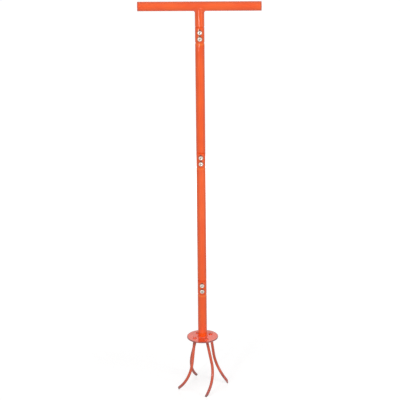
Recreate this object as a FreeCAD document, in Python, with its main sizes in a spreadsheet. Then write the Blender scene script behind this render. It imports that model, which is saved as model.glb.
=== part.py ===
"""Claw cultivator: a T handle, a bolted tube shaft and a plate with four bent rod tines.

Millimetres and degrees. +Z is up, X runs along the handle and -Y is the front, where the screw
heads show. The origin is on the shaft's axis, level with the points of the tines.
"""
import FreeCAD, Part
import math
import os
import Sketcher
from FreeCAD import Placement, Rotation, Vector

# Driving sizes. Each goes into the Sizes sheet under its own name.
SIZES = {
    # Tubes: the handle, the stem and the three shaft sections share one stock.
    "tube_diameter": 22.0,
    "tube_wall": 1.5,
    "tube_edge_chamfer": 0.3,
    "handle_width": 284.0,
    # From the handle's axis to the first seam, then from seam to seam, then to the plate.
    "stem_drop": 48.5,
    "upper_tube_length": 298.0,
    "lower_tube_length": 323.5,
    "head_tube_length": 148.0,
    # Fish mouth at the top of the stem: its two ears are ground off this far below the axis.
    "cope_ear_trim": 3.5,
    # Discs that close the handle.
    "end_cap_thickness": 3.0,
    "end_cap_clearance": 0.05,
    "end_cap_chamfer": 0.3,
    # Joints: a swaged spigot goes down into the socket of the next section.
    "spigot_clearance": 0.1,
    "shoulder_length": 2.6,
    "screw_inset": 11.0,
    "screw_pitch": 14.8,
    "bead_inset": 10.2,
    "bead_depth": 0.8,
    "bead_wheel_radius": 2.9,
    "spigot_end_gap": 0.5,
    "screw_hole_clearance": 0.2,
    # Button head screws with a hexagon socket.
    "screw_diameter": 6.0,
    "screw_length": 30.0,
    "screw_end_chamfer": 0.8,
    "screw_head_diameter": 10.5,
    "screw_head_height": 3.3,
    "screw_head_rim": 0.8,
    "screw_head_flat": 5.6,
    "screw_dome_radius": 4.6,
    "key_across_flats": 4.0,
    "key_depth": 2.0,
    # Lock nuts with a nylon ring held in a round collar.
    "nut_across_flats": 10.0,
    "nut_height": 6.0,
    "nut_hexagon_height": 4.4,
    "nut_collar_diameter": 8.6,
    "nut_bore_clearance": 0.05,
    "nut_chamfer_slope": 30.0,
    "nut_chamfer_start": 4.75,
    "ring_diameter": 7.6,
    "ring_height": 1.3,
    "ring_recess": 0.2,
    "ring_bore_clearance": 0.02,
    # Round plate that carries the tines.
    "plate_diameter": 77.0,
    "plate_thickness": 3.0,
    "plate_edge_chamfer": 0.5,
    # Tines: straight, one bend, straight again. The root is where the rod's axis crosses the
    # underside of the plate. The rod leans from plumb, and its bend lies in a plane of its own.
    "tine_diameter": 7.0,
    "tine_root_radius": 23.7,
    "tine_lean": 14.3,
    "tine_lean_heading": 28.8,
    "tine_bend_heading": -105.5,
    "tine_straight_length": 57.4,
    "tine_bend_radius": 92.0,
    "tine_bend_angle": 47.8,
    "tine_end_length": 11.7,
    "tine_stand_out": 1.6,
    "tine_top_chamfer": 0.4,
    "tine_bevel_angle": 30.0,
    "tine_point_land": 1.2,
    "tine_hole_clearance": 0.1,
    # The tines go round the plate in quarter turns, counted from the first one's direction. They
    # were set by eye before they were welded, so each has a small swing of its own.
    "first_tine_heading": 31.5,
    "back_right_swing": 0.0,
    "back_left_swing": 2.9,
    "front_left_swing": 3.2,
    "front_right_swing": -6.1,
    # Weld beads.
    "handle_weld_side": 4.6,
    "handle_weld_front": 1.9,
    "plate_weld_radius": 2.0,
    "tine_weld_radius": 1.8,
    # Length by which every cut runs past what it cuts.
    "overrun": 2.0,
}

# Tines, counterclockwise from above, a quarter turn apart.
TINES = ("back_right", "back_left", "front_left", "front_right")
# Seams of the shaft, from the bottom, with the length of the section below each.
SEAMS = {
    "lower_joint": "head_tube_length",
    "middle_joint": "lower_tube_length",
    "upper_joint": "upper_tube_length",
}
# Lengths that end in a spigot.
SPIGOTS = ("lower_tube_length", "upper_tube_length", "stem_drop")

# Sizes worked out from the driving ones. Each goes into the Places sheet as a formula.
PLACES = {
    "tube_radius": "Sizes.tube_diameter / 2",
    "bore_radius": "tube_radius - Sizes.tube_wall",
    "handle_half_width": "Sizes.handle_width / 2",
    "end_cap_radius": "bore_radius - Sizes.end_cap_clearance",
    # Spigot, shoulder and bead, as heights from the seam, down positive.
    "spigot_radius": "bore_radius - Sizes.spigot_clearance",
    "spigot_bore_radius": "spigot_radius - Sizes.tube_wall",
    "shoulder_top": "Sizes.shoulder_length * (tube_radius - bore_radius)"
                    " / (tube_radius - spigot_radius)",
    "shoulder_bottom": "Sizes.shoulder_length - shoulder_top",
    "lower_screw_inset": "Sizes.screw_inset + Sizes.screw_pitch",
    "bead_centre": "lower_screw_inset + Sizes.bead_inset",
    "bead_half": "sqrt(Sizes.bead_depth * (2 * Sizes.bead_wheel_radius - Sizes.bead_depth))",
    "bead_top": "bead_centre - bead_half",
    "bead_bottom": "bead_centre + bead_half",
    "bulge_radius": "Sizes.bead_wheel_radius + Sizes.tube_wall",
    "bulge_half": "sqrt(Sizes.bead_depth * (2 * bulge_radius - Sizes.bead_depth))",
    "bulge_top": "bead_centre - bulge_half",
    "bulge_bottom": "bead_centre + bulge_half",
    "spigot_reach": "bulge_top - Sizes.spigot_end_gap",
    "screw_hole_radius": "screw_radius + Sizes.screw_hole_clearance",
    # Screw and nut.
    "screw_radius": "Sizes.screw_diameter / 2",
    "screw_end_radius": "screw_radius - Sizes.screw_end_chamfer",
    "screw_body_length": "Sizes.screw_length - Sizes.screw_end_chamfer",
    "screw_head_radius": "Sizes.screw_head_diameter / 2",
    "screw_flat_radius": "Sizes.screw_head_flat / 2",
    "key_half_flats": "Sizes.key_across_flats / 2",
    "key_corner": "key_half_flats / cos(30)",
    "key_half_corner": "key_corner / 2",
    "nut_half_flats": "Sizes.nut_across_flats / 2",
    "nut_corner": "nut_half_flats / cos(30)",
    "nut_half_corner": "nut_corner / 2",
    "nut_outside": "nut_corner + Sizes.overrun",
    "nut_chamfer_foot": "Sizes.nut_hexagon_height"
                        " - (nut_outside - Sizes.nut_chamfer_start) * tan(Sizes.nut_chamfer_slope)",
    "nut_collar_radius": "Sizes.nut_collar_diameter / 2",
    "nut_bore_radius": "screw_radius + Sizes.nut_bore_clearance",
    "ring_radius": "Sizes.ring_diameter / 2",
    "ring_bore_radius": "screw_radius + Sizes.ring_bore_clearance",
    "ring_seat_depth": "Sizes.ring_height + Sizes.ring_recess",
    "ring_floor": "Sizes.nut_height - ring_seat_depth",
    # Tine, in the frame of its own bend: down the rod, and across towards the bend.
    "plate_radius": "Sizes.plate_diameter / 2",
    "tine_radius": "Sizes.tine_diameter / 2",
    "tine_hole_radius": "tine_radius + Sizes.tine_hole_clearance",
    "tine_top": "Sizes.plate_thickness / cos(Sizes.tine_lean) + Sizes.tine_stand_out",
    "bend_across": "Sizes.tine_bend_radius * (1 - cos(Sizes.tine_bend_angle))",
    "bend_down": "Sizes.tine_straight_length"
                 " + Sizes.tine_bend_radius * sin(Sizes.tine_bend_angle)",
    "end_across": "bend_across + Sizes.tine_end_length * sin(Sizes.tine_bend_angle)",
    "end_down": "bend_down + Sizes.tine_end_length * cos(Sizes.tine_bend_angle)",
    # Grinding cut that makes the point: a triangle seen along the bend's own plane.
    "point_edge": "tine_radius - Sizes.tine_point_land",
    "cut_side": "tine_radius + Sizes.overrun",
    "cut_near": "point_edge + Sizes.overrun * tan(Sizes.tine_bevel_angle)",
    "cut_length": "(cut_side + point_edge) / tan(Sizes.tine_bevel_angle)",
    "cut_width": "2 * cut_side",
    # How far the rod moves inwards as it rises through the plate, and a length of its axis that
    # clears its top.
    "tine_drift": "Sizes.plate_thickness * tan(Sizes.tine_lean)",
    "core_rise": "tine_top + Sizes.overrun",
    # Heights of the pieces. The tines' reach below the plate is measured once they are built.
    "plate_underside": "0",
    "plate_top": "plate_underside + Sizes.plate_thickness",
}

below = "plate_top"
for seam, section in SEAMS.items():
    PLACES[seam] = "%s + Sizes.%s" % (below, section)
    PLACES[seam + "_upper"] = seam + " - Sizes.screw_inset"
    PLACES[seam + "_lower"] = seam + " - lower_screw_inset"
    below = seam
PLACES["handle_height"] = below + " + Sizes.stem_drop"

for section in SPIGOTS:
    PLACES[section + "_shoulder"] = "Sizes.%s - shoulder_top" % section
    PLACES[section + "_neck"] = "Sizes.%s + shoulder_bottom" % section
    PLACES[section + "_end"] = "Sizes.%s + spigot_reach" % section
    PLACES[section + "_upper_screw"] = "Sizes.%s + Sizes.screw_inset" % section
    PLACES[section + "_lower_screw"] = "Sizes.%s + lower_screw_inset" % section

for quarter, side in enumerate(TINES):
    PLACES[side + "_heading"] = "Sizes.first_tine_heading + %d + Sizes.%s_swing" % (
        90 * quarter, side)
    PLACES[side + "_lean"] = side + "_heading + Sizes.tine_lean_heading"
    for axis, part in (("x", "cos"), ("y", "sin")):
        PLACES[side + "_root_" + axis] = "Sizes.tine_root_radius * %s(%s_heading)" % (part, side)
        PLACES[side + "_top_" + axis] = "%s_root_%s - tine_drift * %s(%s_lean)" % (
            side, axis, part, side)


def make_sheet(name, cells):
    """Fill a sheet with one named cell for each entry."""
    sheet = document.addObject("Spreadsheet::Sheet", name)
    for row, (alias, content) in enumerate(cells.items(), start=1):
        sheet.set("A%d" % row, alias)
        sheet.set("B%d" % row, content if isinstance(content, str) else repr(content))
        sheet.setAlias("B%d" % row, alias)
    return sheet


def formula(name):
    """Expression for a named size, such as "tube_radius", "-tube_radius" or "0"."""
    bare = name.lstrip("-")
    sign = "-" if name.startswith("-") else ""
    if bare == "0":
        return "0"
    return sign + ("Sizes." if bare in SIZES else "Places.") + bare


def size(name):
    """Number in the cell of a named size."""
    bare = name.lstrip("-")
    if bare == "0":
        return 0.0
    cell = sizes.get(bare) if bare in SIZES else places.get(bare)
    return -float(cell) if name.startswith("-") else float(cell)


def bind(thing, prop, name):
    """Tie a property of an object to a named size."""
    thing.setExpression(prop, formula(name))


def new_body(name):
    """Start a body for one piece."""
    return document.addObject("PartDesign::Body", name)


def new_sketch(body, name, role):
    """Start a sketch on one of the body's own origin planes."""
    sketch = body.newObject("Sketcher::SketchObject", "%s_%s" % (body.Name, name))
    support = next(plane for plane in body.Origin.OriginFeatures if plane.Role == role)
    sketch.AttachmentSupport = (support, [""])
    sketch.MapMode = "FlatFace"
    return sketch


def new_feature(body, kind, name, profile):
    """Start a feature that works from one sketch."""
    feature = body.newObject("PartDesign::" + kind, "%s_%s" % (body.Name, name))
    feature.Profile = profile
    profile.Visibility = False
    return feature


def locate(sketch, geometry, end, across, up):
    """Fix one point of a sketch at two named sizes."""
    for axis, kind, name in ((-2, "DistanceX", across), (-1, "DistanceY", up)):
        if name == "0":
            sketch.addConstraint(Sketcher.Constraint("PointOnObject", geometry, end, axis))
        else:
            rule = Sketcher.Constraint(kind, -1, 1, geometry, end, size(name))
            bind(sketch, "Constraints[%d]" % sketch.addConstraint(rule), name)


def draw_outline(sketch, corners, arcs=None, closed=True):
    """Join corners, each a pair of named sizes, by lines.

    arcs maps the number of a corner to (name of a radius, turn) where the stretch that starts
    there is an arc: turn is 1 for an arc to the left and -1 for one to the right.
    """
    arcs = arcs or {}
    points = [Vector(size(across), size(up), 0) for across, up in corners]
    count = len(points) if closed else len(points) - 1
    ends = []
    for index in range(count):
        start = points[index]
        finish = points[(index + 1) % len(points)]
        if index not in arcs:
            line = sketch.addGeometry(Part.LineSegment(start, finish), False)
            ends.append((line, 1, 2))
            continue
        name, turn = arcs[index]
        chord = finish - start
        left = Vector(-chord.y, chord.x, 0).normalize()
        rise = math.sqrt(size(name) ** 2 - chord.Length ** 2 / 4)
        centre = (start + finish) / 2 + left * (turn * rise)
        begin, stop = (start, finish) if turn > 0 else (finish, start)
        angles = [math.atan2(p.y - centre.y, p.x - centre.x) for p in (begin, stop)]
        circle = Part.Circle(centre, Vector(0, 0, 1), size(name))
        arc = sketch.addGeometry(Part.ArcOfCircle(circle, angles[0], angles[1]), False)
        ends.append((arc, 1, 2) if turn > 0 else (arc, 2, 1))
    for index in range(count if closed else count - 1):
        this, after = ends[index], ends[(index + 1) % count]
        join = Sketcher.Constraint("Coincident", this[0], this[2], after[0], after[1])
        sketch.addConstraint(join)
    for index, corner in enumerate(corners):
        geometry, end = (ends[index][0], ends[index][1]) if index < count else ends[-1][::2]
        locate(sketch, geometry, end, *corner)
    for index, (name, _) in arcs.items():
        rule = Sketcher.Constraint("Radius", ends[index][0], size(name))
        bind(sketch, "Constraints[%d]" % sketch.addConstraint(rule), name)


def draw_circles(sketch, circles):
    """Draw circles, each given as names: across, up and radius."""
    for across, up, radius in circles:
        centre = Vector(size(across), size(up), 0)
        circle = Part.Circle(centre, Vector(0, 0, 1), size(radius))
        geometry = sketch.addGeometry(circle, False)
        locate(sketch, geometry, 3, across, up)
        rule = Sketcher.Constraint("Radius", geometry, size(radius))
        bind(sketch, "Constraints[%d]" % sketch.addConstraint(rule), radius)


def hexagon(half_flats, corner, half_corner):
    """Corners of a hexagon from the names of its sizes."""
    right = [(half_flats, half_corner), ("0", corner), ("-" + half_flats, half_corner)]
    return right + [("-" + half_flats, "-" + half_corner), ("0", "-" + corner),
                    (half_flats, "-" + half_corner)]


def revolve(body, name, corners, arcs=None, kind="Revolution"):
    """Turn an outline, drawn as radius and height, about the body's Z axis."""
    sketch = new_sketch(body, name + "_profile", "XZ_Plane")
    draw_outline(sketch, corners, arcs)
    feature = new_feature(body, kind, name, sketch)
    feature.ReferenceAxis = (sketch, ["V_Axis"])
    feature.Angle = 360
    return feature


def pad(body, name, sketch, length, both_ways=False):
    """Raise a sketch by a named length."""
    feature = new_feature(body, "Pad", name, sketch)
    feature.SideType = "Symmetric" if both_ways else "One side"
    bind(feature, "Length", length)
    return feature


def cut_through(body, name, sketch):
    """Cut a sketch through the whole body, both ways."""
    feature = new_feature(body, "Pocket", name, sketch)
    feature.Type = "ThroughAll"
    feature.SideType = "Symmetric"
    return feature


def cut_down(body, name, sketch, depth):
    """Cut a sketch to a named depth, and check that the cut removes material."""
    document.recompute()
    before = body.Shape.Volume
    feature = new_feature(body, "Pocket", name, sketch)
    bind(feature, "Length", depth)
    document.recompute()
    if body.Shape.Volume >= before:
        feature.Reversed = True
        document.recompute()
    if body.Shape.Volume >= before:
        raise RuntimeError("%s cuts nothing" % feature.Name)
    return feature


def circles_at(shape, radius, height=None):
    """Names of a shape's circular edges of one radius, at one height if it is given."""
    found = []
    for number, edge in enumerate(shape.Edges, start=1):
        if not isinstance(edge.Curve, Part.Circle):
            continue
        fits = abs(edge.Curve.Radius - radius) < TOLERANCE
        level = height is None or abs(edge.Curve.Center.z - height) < TOLERANCE
        if fits and level:
            found.append("Edge%d" % number)
    return found


def chamfer_rims(body, name, radius, amount, height=None):
    """Chamfer the circular edges of one radius, at one height if it is given."""
    document.recompute()
    base = body.Tip
    level = None if height is None else size(height)
    feature = body.newObject("PartDesign::Chamfer", "%s_%s" % (body.Name, name))
    feature.Base = (base, circles_at(base.Shape, size(radius), level))
    bind(feature, "Size", amount)
    return feature


def put(thing, across="0", along="0", height="0", turn=None):
    """Place an object at named sizes along X, Y and Z, and tie its place to them."""
    point = Vector(size(across), size(along), size(height))
    thing.Placement = Placement(point, turn or Rotation())
    for axis, name in (("x", across), ("y", along), ("z", height)):
        if name != "0":
            bind(thing, "Placement.Base." + axis, name)


def finish(piece, name):
    """Name a finished piece and keep it for the checks and the export."""
    piece.Label = name
    pieces.append(piece)


# Handle

def make_crossbar():
    """Straight tube across the top."""
    body = new_body("crossbar")
    sketch = new_sketch(body, "section", "YZ_Plane")
    draw_circles(sketch, [("0", "0", "tube_radius"), ("0", "0", "bore_radius")])
    pad(body, "tube", sketch, "handle_width", both_ways=True)
    chamfer_rims(body, "rims", "tube_radius", "tube_edge_chamfer")
    put(body, height="handle_height")
    finish(body, "handle_crossbar")


def make_end_cap(side, turn):
    """Disc set flush into one end of the crossbar. Its outer face looks along its own +Z."""
    body = new_body("end_cap_" + side)
    sketch = new_sketch(body, "section", "XY_Plane")
    draw_circles(sketch, [("0", "0", "end_cap_radius")])
    disc = pad(body, "disc", sketch, "end_cap_thickness")
    disc.Reversed = True
    chamfer_rims(body, "rims", "end_cap_radius", "end_cap_chamfer")
    outward = Rotation(Vector(0, 1, 0), 90 * turn)
    across = "handle_half_width" if turn > 0 else "-handle_half_width"
    put(body, across=across, height="handle_height", turn=outward)
    finish(body, "handle_end_cap_" + side)


def tube_outline(length, rim, socket, spigot):
    """Half section of a shaft tube from its rim, at or below height 0, down to its end.

    length names the distance to the next seam, or to the tube's end where it has no spigot.
    """
    outer = [("tube_radius", rim)]
    inner = [("bore_radius", rim)]
    arcs = {}
    if socket:
        arcs[len(outer)] = ("bead_wheel_radius", 1)
        outer += [("tube_radius", "-bead_top"), ("tube_radius", "-bead_bottom")]
        inner += [("bore_radius", "-bulge_top"), ("bore_radius", "-bulge_bottom")]
    if spigot:
        outer += [("tube_radius", "-" + length + "_shoulder"),
                  ("spigot_radius", "-" + length + "_neck")]
        inner += [("bore_radius", "-" + length + "_shoulder"),
                  ("spigot_bore_radius", "-" + length + "_neck")]
        outer.append(("spigot_radius", "-" + length + "_end"))
        inner.append(("spigot_bore_radius", "-" + length + "_end"))
    else:
        outer.append(("tube_radius", "-" + length))
        inner.append(("bore_radius", "-" + length))
    corners = outer + inner[::-1]
    if socket:
        arcs[len(corners) - 3] = ("bulge_radius", -1)
    return corners, arcs


def make_tube(name, length, top, rim="0", socket=True, spigot=True):
    """Section of the shaft: a turned profile with the joints' screw holes drilled across it."""
    body = new_body(name + "_body")
    corners, arcs = tube_outline(length, rim, socket, spigot)
    revolve(body, "tube", corners, arcs)
    if rim != "0":
        cope = new_sketch(body, "cope", "YZ_Plane")
        draw_circles(cope, [("0", "0", "tube_radius")])
        cut_through(body, "fish_mouth", cope)
    screws = ["-screw_inset", "-lower_screw_inset"] if socket else []
    if spigot:
        screws += ["-%s_upper_screw" % length, "-%s_lower_screw" % length]
    holes = new_sketch(body, "holes", "XZ_Plane")
    draw_circles(holes, [("0", drop, "screw_hole_radius") for drop in screws])
    cut_through(body, "screw_holes", holes)
    put(body, height=top)
    finish(body, name)


# Fasteners

def make_screw(name, height):
    """Button head screw. Its head seats at height 0 and stands up from there."""
    body = new_body(name + "_body")
    corners = [("0", "screw_head_height"), ("screw_flat_radius", "screw_head_height"),
               ("screw_head_radius", "screw_head_rim"), ("screw_head_radius", "0"),
               ("screw_radius", "0"), ("screw_radius", "-screw_body_length"),
               ("screw_end_radius", "-screw_length"), ("0", "-screw_length")]
    revolve(body, "blank", corners, {1: ("screw_dome_radius", -1)})
    key = new_sketch(body, "key", "XY_Plane")
    bind(key, "AttachmentOffset.Base.z", "screw_head_height")
    draw_outline(key, hexagon("key_half_flats", "key_corner", "key_half_corner"))
    cut_down(body, "socket", key, "key_depth")
    put(body, along="-tube_radius", height=height, turn=Rotation(Vector(1, 0, 0), 90))
    finish(body, name)


def make_nut(name, height):
    """Lock nut: a chamfered hexagon with a round collar that holds the nylon ring."""
    body = new_body(name + "_body")
    section = new_sketch(body, "section", "XY_Plane")
    draw_outline(section, hexagon("nut_half_flats", "nut_corner", "nut_half_corner"))
    pad(body, "hexagon", section, "nut_hexagon_height")
    corners = [("nut_chamfer_start", "nut_hexagon_height"), ("nut_outside", "nut_hexagon_height"),
               ("nut_outside", "nut_chamfer_foot")]
    revolve(body, "chamfer", corners, kind="Groove")
    collar = new_sketch(body, "collar", "XY_Plane")
    draw_circles(collar, [("0", "0", "nut_collar_radius")])
    pad(body, "collar_blank", collar, "nut_height")
    bore = new_sketch(body, "bore", "XY_Plane")
    draw_circles(bore, [("0", "0", "nut_bore_radius")])
    cut_through(body, "thread_bore", bore)
    seat = new_sketch(body, "seat", "XY_Plane")
    bind(seat, "AttachmentOffset.Base.z", "nut_height")
    draw_circles(seat, [("0", "0", "ring_radius")])
    cut_down(body, "ring_seat", seat, "ring_seat_depth")
    put(body, along="tube_radius", height=height, turn=Rotation(Vector(1, 0, 0), -90))
    finish(body, name)


def make_ring(name, height):
    """Nylon ring that grips the screw's thread. It sits on the floor of the nut's collar."""
    body = new_body(name + "_body")
    section = new_sketch(body, "section", "XY_Plane")
    bind(section, "AttachmentOffset.Base.z", "ring_floor")
    draw_circles(section, [("0", "0", "ring_radius"), ("0", "0", "ring_bore_radius")])
    pad(body, "ring", section, "ring_height")
    put(body, along="tube_radius", height=height, turn=Rotation(Vector(1, 0, 0), -90))
    finish(body, name)


def make_joint(seam):
    """Two screws across one joint, with their heads in front and their nuts behind."""
    for row in ("upper", "lower"):
        height = "%s_%s" % (seam, row)
        make_screw("%s_screw_%s" % (seam, row), height)
        make_nut("%s_nut_%s" % (seam, row), height)
        make_ring("%s_nut_ring_%s" % (seam, row), height)


# Tines and their plate

def tine_turn(side):
    """Rotation that takes a tine from its own bend frame to its place on the plate."""
    heading = Rotation(Vector(0, 0, 1), size(side + "_lean"))
    off_plumb = Rotation(Vector(0, 1, 0), size("-tine_lean"))
    bend = Rotation(Vector(0, 0, 1), size("tine_bend_heading"))
    return heading * off_plumb * bend


def build_tine(side):
    """Bent rod with a ground point, in its own bend frame: down is -Z and the bend goes to +X."""
    body = new_body("tine_%s_body" % side)
    path = new_sketch(body, "path", "XZ_Plane")
    corners = [("0", "tine_top"), ("0", "-tine_straight_length"), ("bend_across", "-bend_down"),
               ("end_across", "-end_down")]
    draw_outline(path, corners, {1: ("tine_bend_radius", 1)}, closed=False)
    section = new_sketch(body, "section", "XY_Plane")
    bind(section, "AttachmentOffset.Base.z", "tine_top")
    draw_circles(section, [("0", "0", "tine_radius")])
    rod = new_feature(body, "AdditivePipe", "rod", section)
    rod.Spine = (path, ["Edge1", "Edge2", "Edge3"])
    path.Visibility = False
    chamfer_rims(body, "top", "tine_radius", "tine_top_chamfer", "tine_top")
    # The point is ground at a slant, from the side that faces out of the bend's plane.
    grind = new_sketch(body, "grind", "YZ_Plane")
    bind(grind, "AttachmentOffset.Base.y", "-end_down")
    bind(grind, "AttachmentOffset.Base.z", "end_across")
    grind.AttachmentOffset = Placement(grind.AttachmentOffset.Base, Rotation(Vector(1, 0, 0), 0))
    grind.setExpression("AttachmentOffset.Rotation.Angle", formula("-tine_bend_angle"))
    draw_outline(grind, [("-cut_near", "-overrun"), ("cut_side", "-overrun"),
                         ("cut_side", "cut_length")])
    cut = new_feature(body, "Pocket", "point", grind)
    cut.SideType = "Symmetric"
    bind(cut, "Length", "cut_width")
    put(body, side + "_root_x", side + "_root_y", "plate_underside", tine_turn(side))
    finish(body, "tine_" + side)
    return body


def make_tine_core(name, side, radius, rise):
    """Cylinder along the straight top of a tine, from under the plate to a rise along it."""
    circle = document.addObject("Part::Circle", name + "_circle")
    bind(circle, "Radius", radius)
    put(circle, side + "_root_x", side + "_root_y", "plate_underside", tine_turn(side))
    core = document.addObject("Part::Extrusion", name)
    core.Base = circle
    core.DirMode = "Normal"
    core.Solid = True
    bind(core, "LengthFwd", rise)
    bind(core, "LengthRev", "overrun")
    return core


def make_plate():
    """Disc with chamfered rims and a slanted hole for each tine."""
    disc = document.addObject("Part::Cylinder", "plate_disc")
    bind(disc, "Radius", "plate_radius")
    bind(disc, "Height", "plate_thickness")
    put(disc, height="plate_underside")
    document.recompute()
    trimmed = document.addObject("Part::Chamfer", "plate_trimmed")
    trimmed.Base = disc
    trim = size("plate_edge_chamfer")
    rims = circles_at(disc.Shape, size("plate_radius"))
    trimmed.Edges = [(int(name[len("Edge"):]), trim, trim) for name in rims]
    drills = document.addObject("Part::MultiFuse", "plate_drills")
    drills.Shapes = [make_tine_core("drill_" + side, side, "tine_hole_radius", "core_rise")
                     for side in TINES]
    plate = document.addObject("Part::Cut", "plate_drilled")
    plate.Base = trimmed
    plate.Tool = drills
    finish(plate, "tine_plate")


# Weld beads

def make_ring_bead(name, ring_radius, bead_radius, core, across="0", along="0"):
    """Ring of weld on the plate's top face, round a core that it is cut back to."""
    ring = document.addObject("Part::Torus", name + "_ring")
    bind(ring, "Radius1", ring_radius)
    bind(ring, "Radius2", bead_radius)
    put(ring, across, along, "plate_top")
    plate = document.addObject("Part::Cylinder", name + "_plate")
    bind(plate, "Radius", "plate_radius")
    bind(plate, "Height", "plate_thickness")
    put(plate, height="plate_underside")
    tools = document.addObject("Part::MultiFuse", name + "_tools")
    tools.Shapes = [core, plate]
    bead = document.addObject("Part::Cut", name + "_cut")
    bead.Base = ring
    bead.Tool = tools
    finish(bead, name)


def make_shaft_bead():
    """Weld round the foot of the head tube."""
    core = document.addObject("Part::Cylinder", "shaft_bead_core")
    bind(core, "Radius", "tube_radius")
    bind(core, "Height", "head_tube_length")
    put(core, height="plate_top")
    make_ring_bead("plate_weld_bead", "tube_radius", "plate_weld_radius", core)


def make_tine_bead(side):
    """Weld round the end of a tine that stands up through the plate.

    It laps over the low side of the tine's end, which leans with the tine.
    """
    core = make_tine_core("bead_core_" + side, side, "tine_radius", "tine_top")
    make_ring_bead("tine_weld_" + side, "tine_radius", "tine_weld_radius", core,
                   side + "_top_x", side + "_top_y")


def weld_half(direction):
    """Half of the handle's weld: round sections that swell along half of the mitre line.

    Two tubes of one diameter meet along two half ellipses. A point of the line is at
    (radius * cos, radius * sin, -radius * cos) for an angle from -90 to 90 degrees. The weld is
    slim in front and behind, where the tubes run into each other, and widest under the arms.
    """
    radius = size("tube_radius")
    slim = size("handle_weld_front")
    swell = size("handle_weld_side") - slim
    sections = []
    for step in range(WELD_SECTIONS):
        angle = math.pi * (step / (WELD_SECTIONS - 1) - 0.5)
        cosine = math.cos(angle)
        sine = math.sin(angle)
        point = Vector(direction * radius * cosine, radius * sine, -radius * cosine)
        along = Vector(-direction * sine, cosine, sine)
        circle = Part.Circle(point, along, slim + swell * cosine)
        sections.append(Part.Wire([circle.toShape()]))
    return Part.makeLoft(sections, True)


def make_handle_bead():
    """Weld along the mitre between the crossbar and the stem."""
    radius = size("tube_radius")
    slim = size("handle_weld_front")
    reach = size("handle_half_width")
    bead = weld_half(1).fuse(weld_half(-1))
    for side in (-1, 1):
        bead = bead.fuse(Part.makeSphere(slim, Vector(0, side * radius, 0)))
    bar = Part.makeCylinder(radius, 2 * reach, Vector(-reach, 0, 0), Vector(1, 0, 0))
    stem = Part.makeCylinder(radius, size("stem_drop"), Vector(0, 0, 0), Vector(0, 0, -1))
    bead = bead.cut(bar).cut(stem)
    solids = sorted(bead.Solids, key=lambda solid: solid.Volume)
    piece = document.addObject("Part::Feature", "handle_bead")
    piece.Shape = solids[-1]
    put(piece, height="handle_height")
    finish(piece, "handle_weld_bead")


def check_pieces():
    """Stop if any object failed or any piece isn't a valid single solid."""
    for thing in document.Objects:
        if "Invalid" in thing.State or "Error" in thing.State:
            raise RuntimeError("%s didn't build: %s" % (thing.Label, thing.State))
    for piece in pieces:
        shape = piece.Shape
        if shape.isNull() or not shape.isValid() or len(shape.Solids) != 1:
            raise RuntimeError("%s isn't one valid solid" % piece.Label)


def report_pieces():
    """Print each piece's volume and its lowest and highest corner."""
    for piece in pieces:
        box = piece.Shape.BoundBox
        print("%-28s %10.1f mm3  x %.1f..%.1f  y %.1f..%.1f  z %.1f..%.1f" % (
            piece.Label, piece.Shape.Volume, box.XMin, box.XMax, box.YMin, box.YMax, box.ZMin,
            box.ZMax))


def measure_tines(tines):
    """Height of the plate that brings the lowest tine's point to the ground."""
    document.recompute()
    lowest = min(tine.Shape.optimalBoundingBox().ZMin for tine in tines)
    places.set(places.getCellFromAlias("plate_underside"), repr(-lowest))
    document.recompute()


# Smallest difference that counts when edges are looked up by their size.
TOLERANCE = 1e-6
# Number of round sections in each half of the handle's weld.
WELD_SECTIONS = 9

document = FreeCAD.newDocument("ClawCultivator")
sizes = make_sheet("Sizes", SIZES)
places = make_sheet("Places", {name: "=" + text for name, text in PLACES.items()})
document.recompute()
pieces = []

measure_tines([build_tine(side) for side in TINES])
make_plate()
make_shaft_bead()
for side in TINES:
    make_tine_bead(side)

make_tube("head_tube", "head_tube_length", "lower_joint", spigot=False)
make_tube("lower_shaft_tube", "lower_tube_length", "middle_joint")
make_tube("upper_shaft_tube", "upper_tube_length", "upper_joint")
make_tube("handle_stem", "stem_drop", "handle_height", rim="-cope_ear_trim", socket=False)
make_crossbar()
make_end_cap("left", -1)
make_end_cap("right", 1)
make_handle_bead()
for seam in SEAMS:
    make_joint(seam)

document.recompute()
check_pieces()
report_pieces()
os.makedirs("parts", exist_ok=True)
for piece in pieces:
    piece.Shape.exportStep("parts/%s.step" % piece.Label)
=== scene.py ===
"""Claw cultivator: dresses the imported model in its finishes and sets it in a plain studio.

Metres and radians unless a name says otherwise. +Z is up, X runs along the handle and -Y is the
front, where the screw heads show. The tubes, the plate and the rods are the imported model's own
solids. The weld beads, the screws and the nuts are modelled here in finer detail, each in the
place of the solid that it stands for.
"""
import logging
import math
from dataclasses import dataclass
from enum import Enum
from functools import cached_property
from itertools import product
from typing import Protocol

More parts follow.
